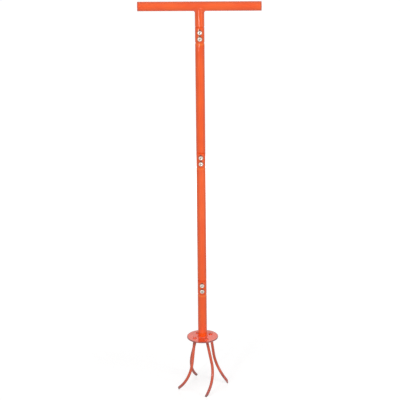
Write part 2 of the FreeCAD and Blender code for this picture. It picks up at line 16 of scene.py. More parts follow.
import bmesh
import bpy
import numpy as np
from mathutils import Euler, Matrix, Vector


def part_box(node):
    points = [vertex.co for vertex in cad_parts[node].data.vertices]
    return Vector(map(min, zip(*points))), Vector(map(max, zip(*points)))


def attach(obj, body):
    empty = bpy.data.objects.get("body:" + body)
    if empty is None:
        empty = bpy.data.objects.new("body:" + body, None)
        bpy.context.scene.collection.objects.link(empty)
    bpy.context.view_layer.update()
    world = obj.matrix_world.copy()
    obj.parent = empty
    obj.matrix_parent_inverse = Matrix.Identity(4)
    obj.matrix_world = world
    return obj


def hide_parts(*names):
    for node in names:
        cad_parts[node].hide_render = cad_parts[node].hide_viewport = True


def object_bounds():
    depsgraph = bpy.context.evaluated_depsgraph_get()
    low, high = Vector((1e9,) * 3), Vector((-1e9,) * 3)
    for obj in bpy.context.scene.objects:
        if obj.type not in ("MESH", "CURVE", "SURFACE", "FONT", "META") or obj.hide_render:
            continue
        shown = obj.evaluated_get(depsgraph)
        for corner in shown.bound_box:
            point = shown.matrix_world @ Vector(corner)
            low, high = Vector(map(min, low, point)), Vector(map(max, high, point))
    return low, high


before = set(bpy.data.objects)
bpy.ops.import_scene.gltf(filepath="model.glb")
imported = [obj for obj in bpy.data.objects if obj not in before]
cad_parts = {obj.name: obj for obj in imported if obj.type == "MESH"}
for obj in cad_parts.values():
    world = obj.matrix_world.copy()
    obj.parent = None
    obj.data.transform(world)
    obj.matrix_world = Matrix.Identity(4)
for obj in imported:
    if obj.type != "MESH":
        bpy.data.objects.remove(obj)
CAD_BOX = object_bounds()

log = logging.getLogger("claw_cultivator")

Colour = tuple[float, float, float, float]
Spot = tuple[float, float, float]
Socket = bpy.types.NodeSocket
Inputs = dict[str | int, Socket | Colour | Spot | float]

MM = 0.001
FULL_TURN = 2 * math.pi
RIGHT_ANGLE = math.pi / 2
BODY = "root"
# Points closer than this are one point, which closes seams and poles.
MERGE_DISTANCE = 1e-7
# Radius of the tubes of the handle and the shaft.
TUBE_RADIUS = 11.0 * MM
# How a screen's 0 to 255 values stand for light.
SCREEN_STEPS = 255
SCREEN_OFFSET = 0.055
SCREEN_POWER = 2.4
# Average of a random pattern.
NOISE_MEAN = 0.5


class Slot(Enum):
    """Material slots of the record, passed along with the new pieces but not set on them here."""

    PAINT = "orange_paint"
    ZINC = "zinc_steel"


class Side(Enum):
    """The four tines, by where they stand round the plate."""

    BACK_RIGHT = "back_right"
    BACK_LEFT = "back_left"
    FRONT_LEFT = "front_left"
    FRONT_RIGHT = "front_right"


class Seam(Enum):
    """The three joints of the shaft."""

    LOWER = "lower_joint"
    MIDDLE = "middle_joint"
    UPPER = "upper_joint"


class Row(Enum):
    """The two screws of a joint."""

    UPPER = "upper"
    LOWER = "lower"


class Axis(Enum):
    """Directions that marks are measured along."""

    ACROSS = "X"
    UP = "Z"


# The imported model

def fastener(seam: Seam, kind: str, row: Row) -> str:
    """Name of a screw, nut or ring, by its joint and row."""
    return "%s_%s_%s" % (seam.value, kind, row.value)


def middle(node: str) -> Spot:
    """Middle of a solid's box."""
    low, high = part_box(node)
    return (low.x + high.x) / 2, (low.y + high.y) / 2, (low.z + high.z) / 2


def dress_node(node: str, finish: bpy.types.Material) -> None:
    """Put a material on every slot of one of the model's own solids.

    Args:
        node: Name of the solid.
        finish: Its material.
    """
    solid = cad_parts[node]
    if not solid.material_slots:
        solid.data.materials.append(finish)
    for material_slot in solid.material_slots:
        material_slot.material = finish
    log.info("%s: dressed in %s", node, finish.name)


# Pieces

def stand(name: str, data: bpy.types.ID) -> bpy.types.Object:
    """Put a mesh, a lamp or a camera into the scene.

    Args:
        name: Name of the object.
        data: The mesh, lamp or camera.

    Returns:
        The object.
    """
    thing = bpy.data.objects.new(name, data)
    bpy.context.scene.collection.objects.link(thing)
    return thing


class Shape(Protocol):
    """Closed surface of a new piece."""

    name: str
    # Edges that turn by more than this stay sharp.
    sharp_degrees: float

    def points(self) -> np.ndarray:
        """Grid of the surface's places, rows by columns by three."""


def join_grid(rows: int, columns: int) -> np.ndarray:
    """Number the four corners of each quad between neighbouring points of a grid."""
    first = (np.arange(rows - 1)[:, None] * columns + np.arange(columns - 1)[None, :]).ravel()
    return np.stack([first, first + columns, first + columns + 1, first + 1], axis=1)


def make_piece(shape: Shape) -> bpy.types.Object:
    """Turn a shape into a closed, smoothly shaded piece.

    Rows or columns of its grid that lie on each other are merged, which closes the seams and the
    poles.

    Args:
        shape: The shape.

    Returns:
        The new object, at the origin.
    """
    points = shape.points()
    rows, columns, _ = points.shape
    quads = join_grid(rows, columns)
    mesh = bpy.data.meshes.new(shape.name)
    mesh.vertices.add(rows * columns)
    mesh.vertices.foreach_set("co", points.reshape(-1).astype(np.float32))
    mesh.loops.add(quads.size)
    mesh.loops.foreach_set("vertex_index", quads.ravel().astype(np.int32))
    mesh.polygons.add(len(quads))
    mesh.polygons.foreach_set("loop_start",
                              np.arange(0, quads.size, quads.shape[1], dtype=np.int32))
    mesh.update(calc_edges=True)
    shell = bmesh.new()
    shell.from_mesh(mesh)
    bmesh.ops.remove_doubles(shell, verts=shell.verts, dist=MERGE_DISTANCE)
    bmesh.ops.dissolve_degenerate(shell, edges=shell.edges, dist=MERGE_DISTANCE)
    bmesh.ops.recalc_face_normals(shell, faces=shell.faces)
    shell.to_mesh(mesh)
    shell.free()
    mesh.shade_smooth()
    mesh.set_sharp_from_angle(angle=math.radians(shape.sharp_degrees))
    return stand(shape.name, mesh)


def seat_piece(shape: Shape, slot: Slot, finish: bpy.types.Material, *nodes: str) -> None:
    """Make a new piece, dress it, fix it to the tool and let it stand for its solids.

    Args:
        shape: Shape of the piece.
        slot: Material slot of the record that it belongs to. Not used.
        finish: Its material.
        nodes: Names of the solids that it replaces.
    """
    piece = make_piece(shape)
    piece.data.materials.append(finish)
    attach(piece, BODY)
    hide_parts(*nodes)
    log.info("%s: %d faces, in place of %s", piece.name, len(piece.data.polygons),
             ", ".join(nodes))


def unit(vectors: np.ndarray) -> np.ndarray:
    """Scale the vectors on a grid to a length of one."""
    return vectors / np.linalg.norm(vectors, axis=2, keepdims=True)


def ripple(along: np.ndarray, across: np.ndarray, count: int, bow: float) -> np.ndarray:
    """Depth of the ripples that a weld pool leaves, from 0 on a crest to 1 in a groove.

    Each ripple is the rim of a puddle that froze over the last one. The depth is one minus half a
    sine over each pitch, so crests are round and grooves are sharp. The rims bow, because their
    phase falls back with the square of the distance from the middle of the bead.

    Args:
        along: Share of the bead's length, from 0 to 1.
        across: Share of the bead's width from its middle, from -1 to 1.
        count: Ripples in the whole length.
        bow: Ripples by which the edge of the bead lags behind its middle.

    Returns:
        The depth, in the shape of the two parameters together.
    """
    phase = along * count - bow * across ** 2
    return 1.0 - np.abs(np.sin(math.pi * phase))


def hexagon_radius(angle: np.ndarray, half_flats: float) -> np.ndarray:
    """Reach of a hexagon: half its flats over the cosine of the turn from a flat's middle."""
    sixth = FULL_TURN / 6
    return half_flats / np.cos(np.mod(angle, sixth) - sixth / 2)


# Nodes of the finishes

def shade(*levels: int) -> Colour:
    """Colour as a shader takes it, from the red, green and blue of a screen.

    Each value is taken as a share, shifted and scaled by the screen's offset, and raised to its
    power.

    Args:
        levels: The three values, from 0 to 255.

    Returns:
        The colour.
    """
    shares = ((level / SCREEN_STEPS + SCREEN_OFFSET) / (1 + SCREEN_OFFSET) for level in levels)
    return (*(share ** SCREEN_POWER for share in shares), 1.0)


@dataclass(frozen=True)
class Pattern:
    """Soft random pattern."""

    # Blobs in a metre, and octaves of finer blobs.
    per_metre: float
    detail: float = 2.0
    # Values that count as its troughs and as its crests.
    low: float = 0.3
    high: float = 0.7


class Recipe:
    """Nodes of a material or the world, built up one by one. Patterns read Object coordinates."""

    def __init__(self, owner: bpy.types.Material | bpy.types.World) -> None:
        """Start with no nodes.

        Args:
            owner: The material or the world.
        """
        owner.use_nodes = True
        self.tree = owner.node_tree
        self.tree.nodes.clear()

    @cached_property
    def place(self) -> Socket:
        """The object's own coordinates."""
        return self.add("TexCoord").outputs["Object"]

    def add(self, kind: str, inputs: Inputs | None = None,
            **settings: object) -> bpy.types.Node:
        """Add a node.

        Args:
            kind: Blender's name for the node, without ShaderNode before it.
            inputs: What goes into it. Another node's output is joined and a value is set.
            settings: Properties of the node to set.

        Returns:
            The node.
        """
        node = self.tree.nodes.new("ShaderNode" + kind)
        for name, value in settings.items():
            setattr(node, name, value)
        for name, value in (inputs or {}).items():
            if isinstance(value, Socket):
                self.tree.links.new(value, node.inputs[name])
            else:
                node.inputs[name].default_value = value
        return node

    def finish(self, shader: Socket, output: str = "OutputMaterial") -> None:
        """Join the last shader to an output, given by Blender's name for it."""
        self.add(output, {"Surface": shader})

    def noise(self, pattern: Pattern) -> Socket:
        """Value of a random pattern, as it comes."""
        return self.add("TexNoise", {"Vector": self.place, "Scale": pattern.per_metre,
                                     "Detail": pattern.detail}).outputs["Fac"]

    def wander(self, pattern: Pattern, reach: float) -> Socket:
        """Random shift by up to half the reach, either way."""
        shift = self.combine(self.noise(pattern), "SUBTRACT", NOISE_MEAN)
        return self.combine(shift, "MULTIPLY", reach)

    def spread(self, value: Socket, start: float, stop: float, low: float, high: float,
               curve: str = "SMOOTHSTEP") -> Socket:
        """Carry a value from start to stop over to low to high, held at both ends."""
        return self.add("MapRange", {"Value": value, "From Min": start, "From Max": stop,
                                     "To Min": low, "To Max": high},
                        interpolation_type=curve).outputs["Result"]

    def patches(self, pattern: Pattern, low: float, high: float) -> Socket:
        """Random patches, low in the pattern's troughs and high on its crests."""
        return self.spread(self.noise(pattern), pattern.low, pattern.high, low, high)

    def blend(self, share: Socket, first: Socket | Colour, second: Colour) -> Socket:
        """Mix two colours, by the share of the second. They go into the node's colour inputs."""
        return self.add("Mix", {"Factor": share, 6: first, 7: second},
                        data_type="RGBA").outputs[2]

    def choose(self, share: Socket, first: Socket, second: Socket) -> Socket:
        """Mix two shaders, by the share of the second."""
        return self.add("MixShader", {0: share, 1: first, 2: second}).outputs[0]

    def combine(self, first: Socket, operation: str, second: Socket | float = 0.0) -> Socket:
        """Combine two values. The operation is Blender's name for it."""
        return self.add("Math", {0: first, 1: second}, operation=operation).outputs[0]

    def along(self, axis: Axis) -> Socket:
        """Place along one axis."""
        return self.add("SeparateXYZ", {"Vector": self.place}).outputs[axis.value]

    def distance(self, spot: Spot) -> Socket:
        """Distance from a spot."""
        return self.add("VectorMath", {0: self.place, 1: spot},
                        operation="DISTANCE").outputs["Value"]

    def radius(self) -> Socket:
        """Distance from the shaft's axis: the length of the place without its height."""
        flat = self.add("VectorMath", {0: self.place, 1: (1.0, 1.0, 0.0)},
                        operation="MULTIPLY").outputs["Vector"]
        return self.add("VectorMath", {0: flat}, operation="LENGTH").outputs["Value"]

    def seen_directly(self, gloss: float) -> Socket:
        """Share that is 1 for the camera's rays, a set part for reflected rays and else 0."""
        rays = self.add("LightPath").outputs
        return self.combine(rays["Is Camera Ray"], "MAXIMUM",
                            self.combine(rays["Is Glossy Ray"], "MULTIPLY", gloss))


# Marks in the finishes

@dataclass
class Surface:
    """Colour, gloss and metal of a finish, while its marks are laid over it."""

    colour: Socket
    gloss: Socket
    metal: Socket | float
    # Roughness where no mark is.
    roughness: float


@dataclass(frozen=True, kw_only=True)
class Mark:
    """Mark laid over a finish: wear or soil that the tool has, or painted light and shade."""

    colour: Colour
    share: float = 1.0
    # Roughness that it brings the finish to, and share of bare metal in it.
    roughness: float | None = None
    metal_share: float = 0.0

    def covers(self, recipe: Recipe) -> list[Socket]:
        """Shares by which the mark covers the surface, one for each of its spots."""
        raise NotImplementedError

    def lay(self, recipe: Recipe, surface: Surface) -> None:
        """Lay the mark over a surface.

        Args:
            recipe: Nodes of the finish.
            surface: The surface.
        """
        for cover in self.covers(recipe):
            surface.colour = recipe.blend(cover, surface.colour, self.colour)
            if self.roughness is not None:
                gain = recipe.combine(cover, "MULTIPLY", self.roughness - surface.roughness)
                surface.gloss = recipe.combine(surface.gloss, "ADD", gain)
            if self.metal_share > 0.0:
                surface.metal = recipe.combine(cover, "MULTIPLY", self.metal_share)


@dataclass(frozen=True, kw_only=True)
class CrestHighlight(Mark):
    """Painted highlight: a lighter, yellower band of coat over the crests of the rolled beads."""

    # Heights of the screws above the beads, and how far below them the crests are.
    screws: tuple[float, ...]
    drop: float = 12.5 * MM
    half_height: float = 4.0 * MM
    colour: Colour = shade(255, 122, 24)
    share: float = 0.65

    def covers(self, recipe: Recipe) -> list[Socket]:
        """A band at each crest, which fades with the distance from its height."""
        gaps = [recipe.combine(recipe.combine(recipe.along(Axis.UP), "SUBTRACT",
                                              height - self.drop), "ABSOLUTE")
                for height in self.screws]
        return [recipe.spread(gap, 0.0, self.half_height, self.share, 0.0) for gap in gaps]


@dataclass(frozen=True, kw_only=True)
class HeadShade(Mark):
    """Painted shade round each screw head and, darker, in a dab above the head."""

    seats: tuple[Spot, ...]
    ring_radius: float = 5.3 * MM
    ring_width: float = 2.0 * MM
    ring_share: float = 0.6
    dab_rise: float = 5.7 * MM
    dab_core: float = 1.5 * MM
    dab_radius: float = 3.0 * MM
    # How far the painted shade's edges wander, and in what pattern.
    fray: float = 4.0 * MM
    frays: Pattern = Pattern(700.0, 3.0)
    colour: Colour = shade(92, 52, 38)

    def covers(self, recipe: Recipe) -> list[Socket]:
        """A ring about each seat and a dab above it, both with frayed edges.

        Args:
            recipe: Nodes of the finish.

        Returns:
            The larger share of the two, for each seat.
        """
        fray = recipe.wander(self.frays, self.fray)
        covers = []
        for across, deep, height in self.seats:
            from_seat, from_dab = (
                recipe.combine(recipe.distance((across, deep, level)), "ADD", fray)
                for level in (height, height + self.dab_rise))
            ring = recipe.spread(from_seat, self.ring_radius, self.ring_radius + self.ring_width,
                                 self.ring_share, 0.0)
            dab = recipe.spread(from_dab, self.dab_core, self.dab_radius, self.share, 0.0)
            covers.append(recipe.combine(ring, "MAXIMUM", dab))
        return covers


@dataclass(frozen=True, kw_only=True)
class SocketShade(Mark):
    """Painted shade in the sockets of the screws."""

    # Middles of the heads' faces, and the depth of the painted shade's middle behind them.
    faces: tuple[Spot, ...]
    depth: float = 1.5 * MM
    radius: float = 2.0 * MM
    rim: float = 2.5 * MM
    colour: Colour = shade(92, 86, 80)
    share: float = 0.6

    def covers(self, recipe: Recipe) -> list[Socket]:
        """A ball about the middle of each socket."""
        gaps = [recipe.distance((across, deep + self.depth, height))
                for across, deep, height in self.faces]
        return [recipe.spread(gap, self.radius, self.rim, self.share, 0.0) for gap in gaps]


@dataclass(frozen=True, kw_only=True)
class DarkBarEnds(Mark):
    """Coat that turns darker and greyer towards both ends of the crossbar."""

    # Distance from the shaft to an end, and from there back to the darkest and to the plain coat.
    bar_end: float
    dull_inset: float = 1.0 * MM
    plain_inset: float = 4.5 * MM
    colour: Colour = shade(132, 76, 78)
    share: float = 0.4

    def covers(self, recipe: Recipe) -> list[Socket]:
        """The coat towards both ends."""
        reach = recipe.combine(recipe.along(Axis.ACROSS), "ABSOLUTE")
        return [recipe.spread(reach, self.bar_end - self.plain_inset,
                              self.bar_end - self.dull_inset, 0.0, self.share)]


@dataclass(frozen=True, kw_only=True)
class ShadeUnderPlate(Mark):
    """Painted shade on the tines, darkest just under the plate that shades them."""

    # Height of the plate's underside, and from there down to where the painted shade ends.
    plate_underside_height: float
    length: float = 22.0 * MM
    fade: float = 2.5 * MM
    colour: Colour = shade(120, 50, 36)
    share: float = 0.7

    def covers(self, recipe: Recipe) -> list[Socket]:
        """The coat up to the plate's underside. Above it the mark fades out at once."""
        up, weld = recipe.along(Axis.UP), self.plate_underside_height
        return [recipe.combine(
            recipe.spread(up, weld - self.length, weld, 0.0, self.share), "MULTIPLY",
            recipe.spread(up, weld, weld + self.fade, 1.0, 0.0))]


@dataclass(frozen=True, kw_only=True)
class Soil(Mark):
    """Soil that dulls the coat near the points of the tines."""

    # Height below which it is thick, and above which there is none.
    thick_height: float = 10.0 * MM
    clean_height: float = 34.0 * MM
    smears: Pattern = Pattern(120.0, 4.0)
    least_smear: float = 0.7
    colour: Colour = shade(168, 92, 94)
    share: float = 0.65

    def covers(self, recipe: Recipe) -> list[Socket]:
        """The coat towards the ground, in smears."""
        soil = recipe.spread(recipe.along(Axis.UP), self.thick_height, self.clean_height,
                             self.share, 0.0)
        return [recipe.combine(soil, "MULTIPLY",
                               recipe.patches(self.smears, self.least_smear, 1.0))]


@dataclass(frozen=True, kw_only=True)
class BareSteel(Mark):
    """Steel that shows where the ground has worn the coat off the points."""

    # Height below which all is bare, and above which the coat is whole.
    bare_height: float = 2.0 * MM
    whole_height: float = 12.0 * MM
    scuffs: Pattern = Pattern(260.0, 4.0)
    colour: Colour = shade(156, 118, 114)
    roughness: float = 0.45
    metal_share: float = 0.6

    def covers(self, recipe: Recipe) -> list[Socket]:
        """The points. The edge of the coat wanders with the scuffs."""
        level = recipe.combine(recipe.along(Axis.UP), "ADD",
                               recipe.wander(self.scuffs, self.whole_height))
        return [recipe.spread(level, self.bare_height, self.whole_height, self.share, 0.0)]


@dataclass(frozen=True, kw_only=True)
class RimShade(Mark):
    """Painted shade: a darker, greyer and duller band towards the rim of the plate, for its dark
    outline.
    """

    # Radius within which the coat is plain, and beyond which the painted shade is full.
    plain_radius: float = 35.5 * MM
    dull_radius: float = 38.5 * MM
    rim_patches: Pattern = Pattern(90.0, 4.0)
    least_rim_patch: float = 0.6
    colour: Colour = shade(132, 76, 78)
    roughness: float = 0.5
    share: float = 0.95

    def covers(self, recipe: Recipe) -> list[Socket]:
        """The coat towards the rim, in patches."""
        rim = recipe.spread(recipe.radius(), self.plain_radius, self.dull_radius, 0.0, self.share)
        return [recipe.combine(rim, "MULTIPLY",
                               recipe.patches(self.rim_patches, self.least_rim_patch, 1.0))]


# Finishes

@dataclass(frozen=True)
class Finish:
    """A finish: two close colours in clouds, uneven gloss, a fine grain, and marks laid over it.
    """

    name: str
    colour: Colour
    cloud_colour: Colour
    clouds: Pattern
    roughness: float
    gloss_clouds: Pattern
    grain: Pattern
    grain_depth: float
    roughness_swing: float = 0.06
    metallic: float = 0.0
    # Share of the surface under a clear top coat.
    clear_coat: float = 0.0
    clear_coat_roughness: float = 0.03
    marks: tuple[Mark, ...] = ()

    def build(self) -> bpy.types.Material:
        """Build the material, with the marks laid over it in their order.

        Returns:
            The material.
        """
        material = bpy.data.materials.new(self.name)
        recipe = Recipe(material)
        colour = recipe.blend(recipe.patches(self.clouds, 0.0, 1.0), self.colour,
                              self.cloud_colour)
        gloss = recipe.patches(self.gloss_clouds, self.roughness - self.roughness_swing,
                               self.roughness + self.roughness_swing)
        surface = Surface(colour, gloss, self.metallic, self.roughness)
        for mark in self.marks:
            mark.lay(recipe, surface)
        grain = recipe.add("Bump", {"Height": recipe.noise(self.grain),
                                    "Distance": self.grain_depth})
        recipe.finish(recipe.add("BsdfPrincipled", {
            "Base Color": surface.colour,
            "Roughness": surface.gloss,
            "Metallic": surface.metal,
            "Coat Weight": self.clear_coat,
            "Coat Roughness": self.clear_coat_roughness,
            "Normal": grain.outputs["Normal"],
        }).outputs["BSDF"])
        return material


@dataclass(frozen=True)
class PowderCoat(Finish):
    """Glossy orange powder coat, with the slight waviness that such a coat dries with."""

    name: str = "orange_powder_coat"
    colour: Colour = shade(250, 96, 24)
    cloud_colour: Colour = shade(244, 86, 20)
    clouds: Pattern = Pattern(14.0, 3.0, 0.35, 0.65)
    roughness: float = 0.1
    roughness_swing: float = 0.03
    gloss_clouds: Pattern = Pattern(60.0, 3.0)
    grain: Pattern = Pattern(420.0, 1.5)
    grain_depth: float = 0.01 * MM
    clear_coat_roughness: float = 0.06


@dataclass(frozen=True)
class TineCoat(PowderCoat):
    """Powder coat of the tines, dulled by work; its darker colour is partly painted shade."""

    name: str = "orange_powder_coat_worn_points"
    colour: Colour = shade(216, 92, 62)
    cloud_colour: Colour = shade(202, 82, 54)
    roughness: float = 0.24


@dataclass(frozen=True)
class PlateCoat(PowderCoat):
    """Powder coat of the plate, which lay flat as it cured and flowed to a clear skin."""

    name: str = "orange_powder_coat_dull_rim"
    # Pinker than the tube's coat: the extra pink is painted reflection of the pale surroundings.
    colour: Colour = shade(255, 94, 54)
    cloud_colour: Colour = shade(250, 88, 48)
    clear_coat: float = 0.5
    # The rim's painted shade.
    marks: tuple[Mark, ...] = (RimShade(),)


@dataclass(frozen=True)
class WeldCoat(PowderCoat):
    """Powder coat over the welds of the claw, which their roughness leaves duller."""

    name: str = "orange_powder_coat_on_welds"
    # Paler and pinker than the tube's coat: painted reflection, like the pale veil on the plate.
    colour: Colour = shade(240, 100, 66)
    cloud_colour: Colour = shade(226, 84, 50)
    roughness: float = 0.32


@dataclass(frozen=True)
class ZincPlate(Finish):
    """Bright zinc on steel, slightly clouded, with a fine grain."""

    name: str = "bright_zinc"
    colour: Colour = shade(236, 228, 216)
    cloud_colour: Colour = shade(214, 207, 196)
    clouds: Pattern = Pattern(500.0, 3.0, 0.35, 0.65)
    roughness: float = 0.2
    gloss_clouds: Pattern = Pattern(900.0)
    grain: Pattern = Pattern(3000.0)
    grain_depth: float = 0.0015 * MM
    metallic: float = 1.0


@dataclass(frozen=True)
class Nylon(Finish):
    """Milky nylon of the rings in the nuts."""

    name: str = "nylon"
    colour: Colour = shade(226, 228, 220)
    cloud_colour: Colour = shade(205, 210, 204)
    clouds: Pattern = Pattern(700.0, 2.0, 0.35, 0.65)
    roughness: float = 0.42
    gloss_clouds: Pattern = Pattern(1200.0)
    grain: Pattern = Pattern(2500.0)
    grain_depth: float = 0.005 * MM


def shaft_marks() -> tuple[Mark, ...]:
    """Marks of the handle and the shaft.

    Returns:
        Painted crest highlights, painted shade round the screw heads, and darker bar ends.
    """
    lower_screws = tuple(middle(fastener(seam, "screw", Row.LOWER))[2] for seam in Seam)
    seats = tuple((0.0, -TUBE_RADIUS, middle(fastener(seam, "screw", row))[2])
                  for seam, row in product(Seam, Row))
    return (CrestHighlight(screws=lower_screws), HeadShade(seats=seats),
            DarkBarEnds(bar_end=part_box("handle_crossbar")[1].x))


def screw_marks() -> tuple[Mark, ...]:
    """Marks of the screws: the painted shade in their sockets."""
    screws = [fastener(seam, "screw", row) for seam, row in product(Seam, Row)]
    return (SocketShade(faces=tuple((0.0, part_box(screw)[0].y, middle(screw)[2])
                                     for screw in screws)),)


def tine_marks() -> tuple[Mark, ...]:
    """Marks of the tines: painted shade below the plate, and soil and bare steel at the points."""
    return ShadeUnderPlate(plate_underside_height=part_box("tine_plate")[0].z), Soil(), BareSteel()


# Weld beads

@dataclass
class RingBead:
    """Weld bead round a rod or tube that stands on the plate.

    The bead is a quarter round in section, from the foot of the rod's wall to the plate. The rod
    may lean: its cut with the plate is then an ellipse, and each section stands on that ellipse.
    Where the rod ends below the top of the bead, the round carries on over the rod's end.
    """

    name: str
    # Middle of the rod's cut with the plate's top face.
    centre: Spot
    rod_radius: float
    leg: float
    # Lean of the rod from plumb, and the direction towards which its foot points.
    lean: float = 0.0
    heading: float = 0.0
    # Angle by which the round carries on past the rod's wall.
    lap: float = 0.0
    ripple_pitch: float = 1.5 * MM
    ripple_share: float = 0.1
    least_ripples: int = 8
    bow: float = 0.8
    steps_per_ripple: int = 10
    section_steps: int = 14
    # The bead runs this far into the rod and the plate, as the melt does.
    root: float = 0.6 * MM
    sharp_degrees: float = 60.0

    def points(self) -> np.ndarray:
        """Grid of the bead's surface.

        The first parameter is the angle round the rod and the second the place on a closed
        section. At an angle, the rod's wall is at radius over the root of one minus the square of
        (sine of the lean times cosine of the angle from the heading). The section is an arc
        about the foot of that wall, with the leg as its radius and ripples cut into it: from the
        lap over the rod down to the plate, and back through the root.

        Returns:
            The places.
        """
        length = FULL_TURN * (self.rod_radius + self.leg / 2)
        count = max(self.least_ripples, round(length / self.ripple_pitch))
        turn = np.linspace(0.0, 1.0, count * self.steps_per_ripple + 1)[:, None]
        angle = FULL_TURN * turn
        arc = np.linspace(RIGHT_ANGLE + self.lap, 0.0, self.section_steps)[None, :]
        across = np.linspace(-1.0, 1.0, self.section_steps)[None, :]
        leg = self.leg * (1.0 - self.ripple_share * ripple(turn, across, count, self.bow))
        out = leg * np.cos(arc)
        up = leg * np.sin(arc)
        # Back through the melt: under the toe, below the corner, and up behind the wall.
        whole = np.ones_like(angle)
        inside = min(-self.root, self.leg * math.cos(RIGHT_ANGLE + self.lap))
        out = np.hstack([out, whole * np.array([[self.leg, inside, inside]]), out[:, :1]])
        up = np.hstack([up, whole * np.array([[-self.root, -self.root, 0.0]]), up[:, :1]])
        slant = math.sin(self.lean) * np.cos(angle - self.heading)
        wall = self.rod_radius / np.sqrt(1.0 - slant ** 2)
        reach = wall + out
        drift = -math.tan(self.lean) * up
        x = self.centre[0] + reach * np.cos(angle) + drift * math.cos(self.heading)
        y = self.centre[1] + reach * np.sin(angle) + drift * math.sin(self.heading)
        z = self.centre[2] + up
        return np.stack([x, y, z], axis=2)


@dataclass
class SaddleBead:
    """Weld bead along the line where the stem's fish mouth meets the crossbar."""

    name: str
    # Height of the crossbar's axis.
    height: float
    # Height of the trimmed ears below that axis.
    ear_drop: float = 3.5 * MM
    side_leg: float = 4.1 * MM
    front_leg: float = 2.4 * MM
    # How far the middle of the bead's face stands off the corner, as a share of the leg.
    side_throat_share: float = 0.42
    front_throat_share: float = 0.34
    sink: float = 0.3 * MM
    root: float = 0.8 * MM
    # Length of the line against the stem's round.
    line_stretch: float = math.sqrt(1.5)
    ripple_pitch: float = 1.7 * MM
    ripple_depth: float = 0.28 * MM
    bow: float = 0.8
    steps_per_ripple: int = 10
    section_steps: int = 17
    sharp_degrees: float = 60.0

    def points(self) -> np.ndarray:
        """Grid of the bead's surface.

        The first parameter is the angle round the stem. The line is on the stem's wall, below the
        crossbar's axis by the fourth root of the sum of two fourth powers: the stem's radius
        times the cosine, and the drop of the ears. The second parameter crosses the bead's face,
        a parabola from a toe on the crossbar to a toe on the stem, and closes through a root
        under the line. The ripples are cut into the middle of the face.

        Returns:
            The places.
        """
        radius = TUBE_RADIUS
        count = round(FULL_TURN * radius * self.line_stretch / self.ripple_pitch)
        turn = np.linspace(0.0, 1.0, count * self.steps_per_ripple + 1)[:, None]
        cosine = np.cos(FULL_TURN * turn)[..., None]
        sine = np.sin(FULL_TURN * turn)[..., None]
        drop = ((radius * cosine) ** 4 + self.ear_drop ** 4) ** 0.25
        slope = radius ** 4 * cosine ** 3 * sine / drop ** 3
        line = np.concatenate([radius * cosine, radius * sine, -drop], axis=2)
        along = unit(np.concatenate([-radius * sine, radius * cosine, slope], axis=2))
        off_bar = unit(np.concatenate([0.0 * sine, radius * sine, -drop], axis=2))
        off_stem = np.concatenate([cosine, sine, 0.0 * sine], axis=2)
        crown = unit(off_bar + off_stem)
        swell = np.abs(cosine)
        leg = self.front_leg + (self.side_leg - self.front_leg) * swell
        throat = leg * (self.front_throat_share
                        + (self.side_throat_share - self.front_throat_share) * swell)
        bar_toe = line + leg * np.cross(off_bar, along)
        stem_toe = line + leg * np.cross(along, off_stem)
        # The toes are drawn in to just under the two tubes' walls.
        deep = radius - self.sink
        bar_toe[..., 1:] *= deep / np.linalg.norm(bar_toe[..., 1:], axis=2, keepdims=True)
        stem_toe[..., :2] *= deep / np.linalg.norm(stem_toe[..., :2], axis=2, keepdims=True)
        peak = 2.0 * (line + throat * crown) - (bar_toe + stem_toe) / 2.0
        step = np.linspace(0.0, 1.0, self.section_steps)[None, :]
        across = 2.0 * step - 1.0
        groove = self.ripple_depth * ripple(turn, across, count, self.bow) * (1.0 - across ** 2)
        share = step[..., None]
        face = ((1.0 - share) ** 2 * bar_toe + 2.0 * share * (1.0 - share) * peak
                + share ** 2 * stem_toe - groove[..., None] * crown)
        points = np.concatenate([face, line - self.root * crown, face[:, :1]], axis=1)
        return points + np.array([0.0, 0.0, self.height])


# Fasteners

